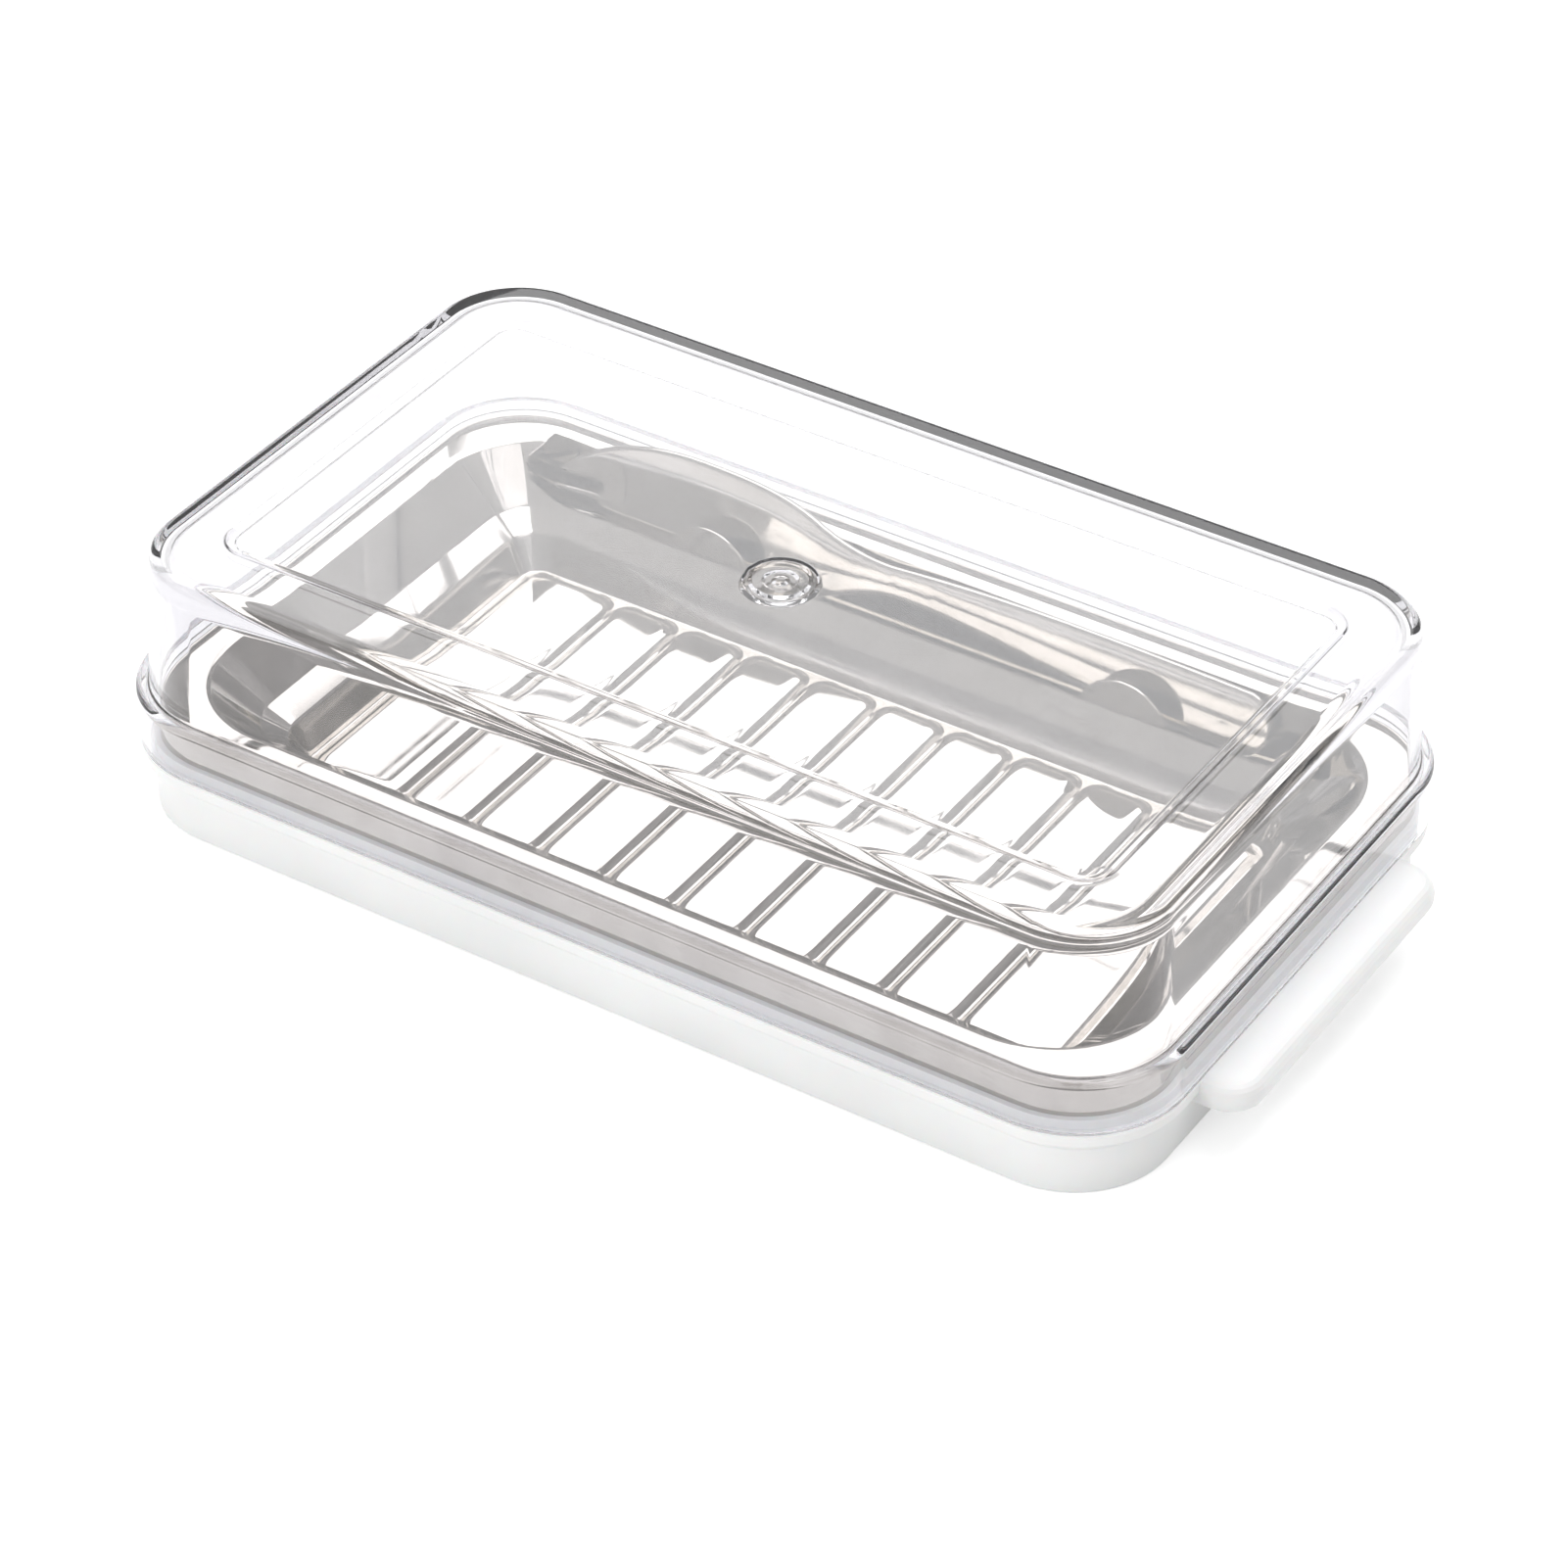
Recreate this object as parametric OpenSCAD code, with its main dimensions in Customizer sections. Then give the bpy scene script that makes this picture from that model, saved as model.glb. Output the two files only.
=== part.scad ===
// Butter case with a wire slicing frame: clear lid, pressed steel tray,
// butter knife, and a white cutter frame that doubles as the base.
// +X runs along the case, +Y to the knife side, +Z up.
// The origin is the centre of the foot that the frame stands on.

/* [Outline] */
// Length of the lid's skirt, which is the widest part of the case
skirt_l = 185; // [160:1:230]
// Width of the lid's skirt
skirt_w = 109.6; // [104:0.2:140]
// Corner radius of the lid's skirt
corner_r = 18.5; // [15:0.5:24]

/* [Lid] */
// Wall of the clear lid
lid_wall = 1.6; // [1.2:0.1:2]
// Height of the lid's raised panel above the foot
lid_z = 47.2; // [38:0.2:60]
// How far the dome stands in from the skirt at its foot
dome_in = 2.1; // [1.8:0.1:4]
// How far the dome wall leans in from its foot to its top
dome_lean = 1.5; // [0.4:0.1:3]
// Radius of the dome's top edge
dome_round = 1.8; // [1.2:0.1:5]
// Radius inside the dome's top edge, which makes the edge a thick lens
inner_round = 5; // [4:0.1:6]
// Distance from the skirt's ends to the raised panel
panel_end = 14.3; // [10:0.1:30]
// Distance from the skirt's long sides to the raised panel
panel_side = 15.5; // [10:0.1:25]
// Corner radius of the raised panel
panel_r = 5; // [2:0.5:12]
// Rise of the panel above the band round it
panel_rise = 0.4; // [0.2:0.1:1.2]
// Diameter of the moulding gate disc at the panel's centre
gate_d = 12; // [6:0.5:20]
// Depth of the ring groove and the centre dot in the gate disc
gate_deep = 0.35; // [0.2:0.05:0.6]

/* [Cutter frame] */
// Height of the rim that carries the lid's skirt
rim_z = 12.7; // [11:0.1:14]
// Thickness of the rim
rim_h = 3.7; // [2.6:0.1:5]
// How far the lower wall stands in from the rim
wall_in = 2.2; // [1:0.1:3]
// Thickness of the frame's lower wall
frame_wall = 3.7; // [3:0.1:5]
// Height of the step above the rim that carries the tray's lip
step_h = 1.7; // [1:0.1:2.4]
// Height of the collar above that step
collar_h = 2.8; // [1.5:0.1:4]
// How far each end grip reaches out from the rim
grip_out = 7.8; // [6:0.1:16]
// Width of each end grip
grip_w = 64.2; // [40:0.2:70]
// Thickness of each end grip
grip_h = 5.1; // [4.6:0.1:6]
// Radius of the grips' outer corners
grip_r = 6; // [4:0.5:8]
// Radius of the grips' softened edges, top and bottom
grip_soft = 2.2; // [0.8:0.1:2.3]

/* [Tray] */
// Thickness of the pressed steel sheet
sheet = 0.6; // [0.5:0.05:0.8]
// Gap between the lid's skirt and the tray's lip
lip_gap = 1.6; // [1:0.1:2.2]
// Gap between the tray's lip and the frame's collar
collar_gap = 0.4; // [0.3:0.05:0.8]
// Width of the flange from the lip to the well along the sides
flange_w = 4.8; // [4:0.1:7]
// Width of the flange from the lip to the well at the two ends
flange_end_w = 5.5; // [5:0.1:8]
// Height of the lip that the flange turns down into
lip_h = 6; // [5:0.1:6.4]
// Height of the raised flat pads in the tray's floor
pad_z = 5.2; // [4.9:0.05:6]
// Depth of the grooves between the pads and of the moat round them
groove_deep = 1.2; // [0.8:0.1:1.4]
// Width of a groove at its top
groove_top = 2.8; // [2.4:0.1:4]
// Width of a groove at its bottom
groove_foot = 1.5; // [1.3:0.1:2.2]
// Width of the moat between the pads and the wall
moat_w = 0.8; // [0.5:0.1:1.2]
// Width of the tray's floor between the feet of its walls
floor_w = 64; // [57:0.5:67]
// Corner radius of the floor
floor_r = 3.5; // [2.5:0.5:6]
// Run of the steep lower wall
low_run = 2.7; // [2:0.1:5]
// Rise of the steep lower wall above the pads
low_rise = 4.5; // [3:0.1:6]
// Run of the shelf-like slope above the lower wall
slope_run = 4.3; // [3:0.1:6]
// Rise of that slope
slope_rise = 2.8; // [1.5:0.1:4]

/* [Knife channel] */
// Distance from the well's ends to the ends of the channel that holds the knife
channel_end = 8.8; // [6.8:0.1:14]
// Height of the channel's floor
channel_z = 7.1; // [7:0.05:9]
// Width of the channel's floor
channel_w = 4.4; // [3.6:0.1:5]
// Distance of the two half-round lugs from the centre
lug_x = 39; // [20:1:60]
// Radius of the half-round lugs
lug_r = 8.2; // [5:0.1:10]
// Height of the lugs above the channel's front edge
lug_h = 6; // [3:0.1:8]

/* [Knife] */
// Thickness of the knife
knife_t = 1.6; // [1:0.1:2.4]
// Length of the blade from its tines to the neck
blade_l = 62; // [50:1:72]
// Width of the blade from its back to its belly
blade_w = 18.6; // [15:0.2:20]
// Distance from the channel's end to the end of the knife's handle
handle_gap = 12; // [4:0.5:24]
// Width of the neck between blade and handle
neck_w = 5.2; // [3.5:0.1:8]
// Width of the handle at its end
handle_w = 10.4; // [7:0.1:12]
// Depth of the two slots that part the tines
slot_l = 9.6; // [5:0.1:14]
// Width of those slots
slot_w = 2.1; // [1.2:0.1:2.6]

/* [Wires] */
// Spacing of the cutting wires, which is the thickness of a slice
wire_pitch = 12.7; // [10:0.1:13.5]
// Diameter of the cutting wires
wire_d = 0.5; // [0.3:0.05:0.7]
// Gap between the wires and the grooves of the tray above them
wire_gap = 0.25; // [0.15:0.05:0.4]
// Diameter of the crimp on each wire end
crimp_d = 1.8; // [1.4:0.1:2]
// Length of a crimp
crimp_l = 2.4; // [1.6:0.1:2.8]

/* [Clamp rails] */
// Depth of the rails that clamp the wire ends to the frame
rail_d = 4; // [3.4:0.1:5]
// Height of the rails
rail_h = 3.6; // [3:0.1:3.8]
// Length of the rails past the last wire at each end
rail_end = 11; // [9:0.5:16]
// Shank diameter of the rail screws
screw_d = 1.6; // [1.2:0.1:1.8]
// Head diameter of the rail screws
head_d = 2.8; // [2.4:0.1:3]
// Depth of the rail screws' heads
head_h = 1; // [0.8:0.1:1.4]
// Length of screw that bites into the frame's wall
screw_bite = 2.4; // [1.5:0.1:2.6]

/* [Hidden] */

wire_count = 9;
eps = 0.01;
$fn = 64;

// Ring levels, each given as an inset from the outside of the skirt
wall_inner = wall_in + frame_wall;
skirt_gap = 0.7;
step_out = lid_wall + skirt_gap;
lip_out = lid_wall + lip_gap;
lip_in = lip_out + sheet;
collar_out = lip_in + collar_gap;

// Heights
step_z = rim_z + step_h;
collar_z = step_z + collar_h;
flange_z = step_z + lip_h;
shelf_gap = 0.4;
shelf_z = flange_z + shelf_gap + lid_wall;
band_z = lid_z - panel_rise;
moat_z = pad_z - groove_deep;
wire_z = moat_z - sheet - wire_gap - wire_d/2;
low_z = pad_z + low_rise;
slope_z = low_z + slope_rise;

// Half sizes of the well at the levels of its floor, its steep wall and its slope
floor_y = floor_w/2;
slope_y = floor_y + low_run + slope_run;
well_y = skirt_w/2 - lip_out - flange_w;
well_x = skirt_l/2 - lip_out - flange_end_w;
well_r = floor_r + well_y - floor_y;
floor_x = well_x - (well_y - floor_y);

// Knife channel, along Y
channel_half = well_x - channel_end;
channel_lean = 0.9;
channel_y0 = slope_y + sheet + channel_lean;
channel_y1 = channel_y0 + channel_w;

// The knife stands on the channel's floor, against its front wall, and leans on the
// flange's edge
knife_gap = 0.2;
foot_y = channel_y0 + knife_gap + knife_t;
foot_z = channel_z + knife_gap;
edge_far = norm([well_y - foot_y, flange_z - foot_z]);
knife_lean = atan2(well_y - foot_y, flange_z - foot_z) - asin(knife_gap/edge_far);
knife_y = foot_y + blade_w/2*sin(knife_lean) - knife_t/2*cos(knife_lean);
knife_z = foot_z + blade_w/2*cos(knife_lean) + knife_t/2*sin(knife_lean);
tip_gap = 1;
knife_s0 = blade_l + tip_gap - channel_half;
handle_l = channel_half - handle_gap - knife_s0;

// Wire ends and rails
rail_y1 = skirt_w/2 - wall_inner;
rail_y0 = rail_y1 - rail_d;
rail_half = wire_pitch*(wire_count - 1)/2 + rail_end;
crimp_gap = 0.2;
crimp_y = rail_y1 - crimp_gap - crimp_l;
screw_slots = [-4.5, -1.5, 1.5, 4.5];

// Points along a circular arc about c, from angle a0 to a1
function arc(c, r, a0, a1, n = 6) =
    [for (i = [0:n]) let (a = a0 + (a1 - a0)*i/n) c + r*[cos(a), sin(a)]];

// Points along a cubic curve, without its first point
function curve(p, q, r, s, n = 10) =
    [for (i = [1:n]) let (t = i/n, k = 1 - t)
        k*k*k*p + 3*k*k*t*q + 3*k*t*t*r + t*t*t*s];

// Turns section points given as [inset, height] into [distance from the corner centre, height]
function from_inset(points, r) = [for (p = points) [r - p[0], p[1]]];

// The left normal of the line from a to b
function left_of(a, b) = [a[1] - b[1], b[0] - a[0]]/norm(b - a);

// The point beside b where a strip of thickness t turns the corner a-b-c
function mitre(a, b, c, t) = let (n = left_of(a, b) + left_of(b, c)) b + 2*t*n/(n*n);

module rounded_rect(half_l, half_w, r) {
    square([2*(half_l - r), 2*half_w], center = true);
    square([2*half_l, 2*(half_w - r)], center = true);
    for (sx = [-1, 1], sy = [-1, 1])
        translate([sx*(half_l - r), sy*(half_w - r)]) circle(r);
}

// A flat plate whose edge lies at an inset from the skirt
module inset_plate(inset, z, thick) {
    translate([0, 0, z]) linear_extrude(thick)
        rounded_rect(skirt_l/2 - inset, skirt_w/2 - inset, corner_r - inset);
}

// Runs a section round a rounded rectangle whose corner centres stand at [cx, cy].
// The section's x is the distance out from a corner centre and its y is the height.
module sweep(cx, cy) {
    for (turn = [0:3]) {
        out = turn % 2 == 0 ? cx : cy;
        side = turn % 2 == 0 ? cy : cx;
        rotate([0, 0, 90*turn]) {
            translate([out, side, 0]) rotate([90, 0, 0])
                linear_extrude(2*side) children();
            translate([out, side, 0]) rotate_extrude(angle = 90) children();
        }
    }
}

// Runs a section of [inset, height] points round the case
module inset_sweep(points) {
    sweep(skirt_l/2 - corner_r, skirt_w/2 - corner_r)
        polygon(from_inset(points, corner_r));
}

module lid() {
    shelf_round = 1.2;
    top_in = dome_in + dome_lean;
    plate_in = top_in + lid_wall + inner_round;
    under_z = band_z - lid_wall;
    panel_x = skirt_l/2 - panel_end;
    panel_y = skirt_w/2 - panel_side;
    outside = concat(
        [[0, rim_z]],
        arc([shelf_round, shelf_z - shelf_round], shelf_round, 180, 90),
        [[dome_in, shelf_z]],
        arc([top_in + dome_round, band_z - dome_round], dome_round, 180, 90),
        [[plate_in, band_z]]);
    inside = concat(
        arc([plate_in, under_z - inner_round], inner_round, 90, 180),
        [[dome_in + lid_wall, shelf_z - lid_wall], [lid_wall, shelf_z - lid_wall],
         [lid_wall, rim_z]]);
    color([0.88, 0.88, 0.91, 0.45]) difference() {
        union() {
            inset_sweep(concat(outside, inside));
            inset_plate(plate_in - eps, under_z, lid_wall);
            translate([0, 0, under_z]) linear_extrude(lid_wall + panel_rise)
                rounded_rect(panel_x, panel_y, panel_r);
        }
        translate([0, 0, under_z - eps]) linear_extrude(panel_rise + eps)
            rounded_rect(panel_x - lid_wall, panel_y - lid_wall, max(eps, panel_r - lid_wall));
        gate_cut();
    }
}

// Ring groove and centre dot left by the moulding gate
module gate_cut() {
    groove = 0.8;
    translate([0, 0, lid_z - gate_deep]) {
        difference() {
            cylinder(d = gate_d, h = gate_deep + eps);
            translate([0, 0, -eps]) cylinder(d = gate_d - 2*groove, h = gate_deep + 3*eps);
        }
        cylinder(d = gate_d/2.2, h = gate_deep + eps);
    }
}

module frame_section() {
    foot_round = 0.5;
    rim_round = 0.6;
    rim_edge_h = 2.4;
    polygon(from_inset(concat(
        [[wall_inner, 0]],
        arc([wall_in + foot_round, foot_round], foot_round, 270, 180, 3),
        [[wall_in, rim_z - rim_h - rim_round]],
        arc([rim_round, rim_z - rim_edge_h + rim_round], rim_round, 250, 180, 3),
        arc([rim_round, rim_z - rim_round], rim_round, 180, 90, 3),
        [[step_out, rim_z], [step_out, step_z], [collar_out, step_z],
         [collar_out, collar_z], [wall_inner, collar_z]]), corner_r));
}

// End grip: a flat tongue with a rounded outline and softened edges
module grip() {
    half_l = 15;
    under_z = rim_z - grip_h;
    edge = concat(
        [[0, under_z]],
        arc([grip_r - grip_soft, under_z + grip_soft], grip_soft, 270, 360, 5),
        arc([grip_r - grip_soft, rim_z - grip_soft], grip_soft, 0, 90, 5),
        [[0, rim_z]]);
    translate([skirt_l/2 + grip_out - half_l, 0, 0]) {
        sweep(half_l - grip_r, grip_w/2 - grip_r) polygon(edge);
        translate([0, 0, under_z]) linear_extrude(grip_h)
            square([2*(half_l - grip_r), grip_w - 2*grip_r], center = true);
    }
}

module cutter_frame() {
    color([0.93, 0.93, 0.92]) difference() {
        union() {
            sweep(skirt_l/2 - corner_r, skirt_w/2 - corner_r) frame_section();
            difference() {
                for (a = [0, 180]) rotate([0, 0, a]) grip();
                inset_plate(wall_inner - eps, 0, lid_z);
            }
        }
        for (a = [0, 180]) rotate([0, 0, a]) screw_bores(screw_d, screw_bite);
    }
}

// Cylinders in the front wall, where the rail screws go
module screw_bores(d, depth) {
    for (k = screw_slots)
        translate([k*wire_pitch, -rail_y1 + eps, wire_z]) rotate([90, 0, 0])
            cylinder(d = d, h = depth + 0.2);
}

// The rail along the front wall. The back rail is the same piece turned round.
module clamp_rail() {
    first = -(wire_count - 1)/2;
    difference() {
        translate([-rail_half, -rail_y1, wire_z - rail_h/2])
            cube([2*rail_half, rail_d, rail_h]);
        for (i = [0:wire_count - 1]) translate([(first + i)*wire_pitch, 0, wire_z]) {
            translate([0, -rail_y0 + eps, 0]) rotate([90, 0, 0])
                cylinder(d = wire_d + 0.4, h = rail_d + 2*eps);
            translate([0, -crimp_y + crimp_gap, 0]) rotate([90, 0, 0])
                cylinder(d = crimp_d + 0.2, h = crimp_l + 3*crimp_gap);
        }
        for (k = screw_slots) translate([k*wire_pitch, -rail_y0 + eps, wire_z])
            rotate([90, 0, 0]) {
                cylinder(d = screw_d, h = rail_d + 2*eps);
                cylinder(d = head_d, h = head_h + eps);
            }
    }
}

module front_clamp_rail() {
    color([0.9, 0.9, 0.89]) clamp_rail();
}

module back_clamp_rail() {
    color([0.9, 0.9, 0.89]) rotate([0, 0, 180]) clamp_rail();
}

// Countersunk screws with a cross slot, seated in the rail
module rail_screws() {
    slot_width = 0.5;
    slot_depth = 0.5;
    for (k = screw_slots) translate([k*wire_pitch, -rail_y0, wire_z]) rotate([90, 0, 0])
        difference() {
            union() {
                cylinder(d = head_d, h = head_h);
                cylinder(d = screw_d, h = rail_d + screw_bite);
            }
            for (a = [0, 90]) rotate([0, 0, a])
                translate([-head_d*0.35, -slot_width/2, -eps])
                    cube([head_d*0.7, slot_width, slot_depth]);
        }
}

module front_rail_screws() {
    color([0.7, 0.7, 0.72]) rail_screws();
}

module back_rail_screws() {
    color([0.7, 0.7, 0.72]) rotate([0, 0, 180]) rail_screws();
}

// Crimped sleeves that stop the wires behind the front rail
module wire_crimps() {
    first = -(wire_count - 1)/2;
    for (i = [0:wire_count - 1])
        translate([(first + i)*wire_pitch, -crimp_y, wire_z]) rotate([90, 0, 0])
            difference() {
                cylinder(d = crimp_d, h = crimp_l);
                translate([0, 0, -eps]) cylinder(d = wire_d, h = crimp_l + 2*eps);
            }
}

module front_wire_crimps() {
    color([0.62, 0.62, 0.64]) wire_crimps();
}

module back_wire_crimps() {
    color([0.62, 0.62, 0.64]) rotate([0, 0, 180]) wire_crimps();
}

// Wire number i, strung from one crimp to the other
module wire(i) {
    half = crimp_y + crimp_l;
    color([0.75, 0.75, 0.77])
        translate([(i - (wire_count + 1)/2)*wire_pitch, half, wire_z]) rotate([90, 0, 0])
            cylinder(d = wire_d, h = 2*half);
}

// Wall of the well as a strip of sheet from the flange down to the floor
module well_wall() {
    cx = floor_x - floor_r;
    cy = floor_y - floor_r;
    lap = 1.2;
    upper = [[well_r + lap, flange_z], [well_r, flange_z],
             [floor_r + low_run + slope_run, slope_z], [floor_r + low_run, low_z],
             [floor_r, moat_z], [floor_r - lap, moat_z]];
    lower = [for (i = [4:-1:1]) mitre(upper[i - 1], upper[i], upper[i + 1], sheet)];
    sweep(cx, cy) polygon(concat(
        [for (i = [1:5]) upper[i]], [[floor_r - lap, moat_z - sheet]], lower));
}

// Flat flange with its turned-down lip
module flange() {
    bend = 0.9;
    difference() {
        inset_plate(lip_out + bend, flange_z - sheet, sheet);
        translate([0, 0, flange_z - sheet - eps]) linear_extrude(sheet + 2*eps)
            rounded_rect(well_x, well_y, well_r);
    }
    inset_sweep(concat(
        [[lip_in, step_z], [lip_out, step_z]],
        arc([lip_out + bend, flange_z - bend], bend, 180, 90, 4),
        [[lip_out + bend + eps, flange_z - sheet]],
        arc([lip_out + bend, flange_z - bend], bend - sheet, 90, 180, 2)));
}

// Solid that fills the grooves between the pads from z up to top_z, widened by t on each side
module grooves(t, z, top_z) {
    first = -(wire_count - 1)/2;
    for (i = [0:wire_count - 1]) translate([(first + i)*wire_pitch, floor_y, 0])
        rotate([90, 0, 0]) linear_extrude(2*floor_y)
            polygon([[-groove_foot/2 - t, z], [groove_foot/2 + t, z],
                     [groove_top/2 + t, top_z], [-groove_top/2 - t, top_z]]);
}

// The raised block that the grooves part into pads, from z up to top_z, inset by t
module pad_block(t, z, top_z) {
    pad_lean = 0.3;
    half_x = floor_x - moat_w - t;
    half_y = floor_y - moat_w - t;
    r = floor_r - moat_w - t;
    sweep(half_x - r, half_y - r)
        polygon([[0, z], [r, z], [r - pad_lean, top_z], [0, top_z]]);
    translate([0, 0, z]) linear_extrude(top_z - z)
        square([2*(half_x - r) + eps, 2*(half_y - r) + eps], center = true);
}

// The hollow under the pads
module under_pads(skin) {
    difference() {
        pad_block(skin, moat_z - sheet - eps, pad_z - sheet);
        grooves(skin, moat_z - sheet - 2*eps, pad_z - sheet + eps);
    }
}

// Section of the knife channel up to top_z, thickened by t on its floor and walls
module channel(t, half_l, top_z) {
    rise = (top_z - channel_z)/(slope_z - channel_z);
    back_rise = (top_z - channel_z)/(flange_z - channel_z);
    rotate([90, 0, 90]) translate([0, 0, -half_l]) linear_extrude(2*half_l)
        polygon([[channel_y0 - channel_lean*rise - t, top_z], [channel_y0 - t, channel_z - t],
                 [channel_y1 + t, channel_z - t],
                 [channel_y1 + t + (well_y - channel_y1)*back_rise, top_z]]);
}

// Half-round lugs on the channel's front edge, which keep the knife in
module lugs() {
    for (s = [-1, 1]) translate([s*lug_x, slope_y, 0]) intersection() {
        translate([0, sheet, slope_z + lug_h - lug_r]) rotate([90, 0, 0])
            cylinder(r = lug_r, h = sheet);
        translate([-lug_r, -1, slope_z - sheet]) cube([2*lug_r, 3, lug_h + 2*sheet]);
    }
}

// The pressed sheet with its pads and channel, still without the lugs
module pressing() {
    difference() {
        union() {
            flange();
            well_wall();
            translate([0, 0, moat_z - sheet]) linear_extrude(sheet)
                rounded_rect(floor_x - 1, floor_y - 1, floor_r - 1);
            difference() {
                pad_block(0, moat_z - sheet/2, pad_z);
                grooves(0, moat_z, pad_z + eps);
            }
            channel(sheet, channel_half, slope_z);
            channel_back();
        }
        under_pads(0.55);
        channel(0, channel_half - sheet, flange_z + 1);
        translate([sheet - channel_half, slope_y, slope_z])
            cube([2*(channel_half - sheet), 2*sheet, lug_h]);
    }
}

module tray() {
    color([0.72, 0.71, 0.69]) {
        pressing();
        lugs();
    }
}

// Back wall of the channel, up to the flange
module channel_back() {
    rotate([90, 0, 90]) translate([0, 0, -channel_half]) linear_extrude(2*channel_half)
        polygon([[channel_y1, channel_z], [well_y, flange_z],
                 [well_y + sheet, flange_z - sheet/2], [channel_y1 + sheet, channel_z - sheet]]);
}

// Flat outline of the knife: blade back, handle, belly, and the slotted end
module knife_outline() {
    top = blade_w/2;
    belly = -blade_w/2;
    tip = knife_s0 - blade_l;
    end = knife_s0 + handle_l;
    heel = knife_s0 - 9;
    difference() {
        polygon(concat(
            [[tip + 2.2, -0.6]],
            curve([tip + 2.2, -0.6], [tip + 8, top*0.66], [tip + 17, top], [tip + 29, top]),
            curve([tip + 29, top], [tip + 41, top], [heel - 6, top*0.9], [heel, top*0.62]),
            curve([heel, top*0.62], [heel + 4, top*0.46], [knife_s0, neck_w*0.62],
                  [knife_s0 + 5, neck_w*0.66]),
            curve([knife_s0 + 5, neck_w*0.66], [end - handle_l*0.73, handle_w/2 - 0.6],
                  [end - handle_l*0.53, handle_w/2], [end - 4.5, handle_w/2 - 1]),
            curve([end - 4.5, handle_w/2 - 1], [end, handle_w/2 - 2],
                  [end + 1.6, -handle_w/2 + 2.6], [end - 3, -handle_w/2 - 1], 8),
            curve([end - 3, -handle_w/2 - 1], [end - handle_l*0.48, -handle_w/2 - 0.4],
                  [end - handle_l*0.67, -neck_w*0.32], [knife_s0 + 8, -neck_w*0.3]),
            curve([knife_s0 + 8, -neck_w*0.3], [knife_s0 - 2, -neck_w*0.3],
                  [heel + 2, belly + 1.5], [heel - 9, belly]),
            curve([heel - 9, belly], [heel - 20, belly - 0.1], [tip + 16, belly],
                  [tip, belly + 1.4], 6)));
        slot(0);
        slot(1);
    }
}

// Slot k in the blade's end, counted from the back of the blade
module slot(k) {
    tip = knife_s0 - blade_l;
    translate([tip + 0.6 + slot_l - k*0.2, -1.3 - 3.6*k]) rotate([0, 0, 5]) {
        circle(d = slot_w);
        translate([-2*slot_l, -slot_w/2]) square([2*slot_l, slot_w]);
    }
}

module knife() {
    color([0.76, 0.75, 0.73]) translate([0, knife_y, knife_z])
        rotate([90 - knife_lean, 0, 0]) translate([0, 0, -knife_t/2])
            linear_extrude(knife_t) knife_outline();
}

cutter_frame();
front_clamp_rail();
back_clamp_rail();
front_rail_screws();
back_rail_screws();
front_wire_crimps();
back_wire_crimps();
wire(1);  // wire_1
wire(2);  // wire_2
wire(3);  // wire_3
wire(4);  // wire_4
wire(5);  // wire_5
wire(6);  // wire_6
wire(7);  // wire_7
wire(8);  // wire_8
wire(9);  // wire_9
tray();
knife();
lid();
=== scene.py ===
"""Butter case with a wire slicing frame: finishes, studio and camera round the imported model."""

import logging
import math
from collections.abc import Sequence
from dataclasses import dataclass
from enum import Enum

import bmesh
import bpy
import numpy as np
from mathutils import Matrix, Vector
from mathutils.geometry import delaunay_2d_cdt

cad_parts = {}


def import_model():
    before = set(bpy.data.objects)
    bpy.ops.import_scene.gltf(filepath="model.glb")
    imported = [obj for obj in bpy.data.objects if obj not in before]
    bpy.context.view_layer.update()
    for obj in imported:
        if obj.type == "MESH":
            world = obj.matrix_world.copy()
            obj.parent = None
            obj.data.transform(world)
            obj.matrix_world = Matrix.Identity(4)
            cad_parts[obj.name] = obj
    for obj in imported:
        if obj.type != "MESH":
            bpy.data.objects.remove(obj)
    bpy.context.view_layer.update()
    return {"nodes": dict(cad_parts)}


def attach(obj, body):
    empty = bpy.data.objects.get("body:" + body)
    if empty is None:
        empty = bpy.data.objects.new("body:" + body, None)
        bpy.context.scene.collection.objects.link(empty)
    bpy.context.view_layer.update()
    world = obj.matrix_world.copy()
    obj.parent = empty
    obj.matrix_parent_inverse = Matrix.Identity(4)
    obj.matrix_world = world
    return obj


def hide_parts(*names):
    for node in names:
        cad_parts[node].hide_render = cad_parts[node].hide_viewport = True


log = logging.getLogger("butter_case")
MM = 0.001
ROUNDING_ROOM = 0.49
NEARLY_STRAIGHT = 1.56
WELD = 1e-4
SLIVER = 1e-5
Colour = tuple[float, float, float]
Point = tuple[float, float, float]
Flat = tuple[float, float]


class Body(Enum):
    """The moving bodies that a piece can ride on."""

    TRAY = "tray"
    KNIFE = "knife"
    LID = "lid"


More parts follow.
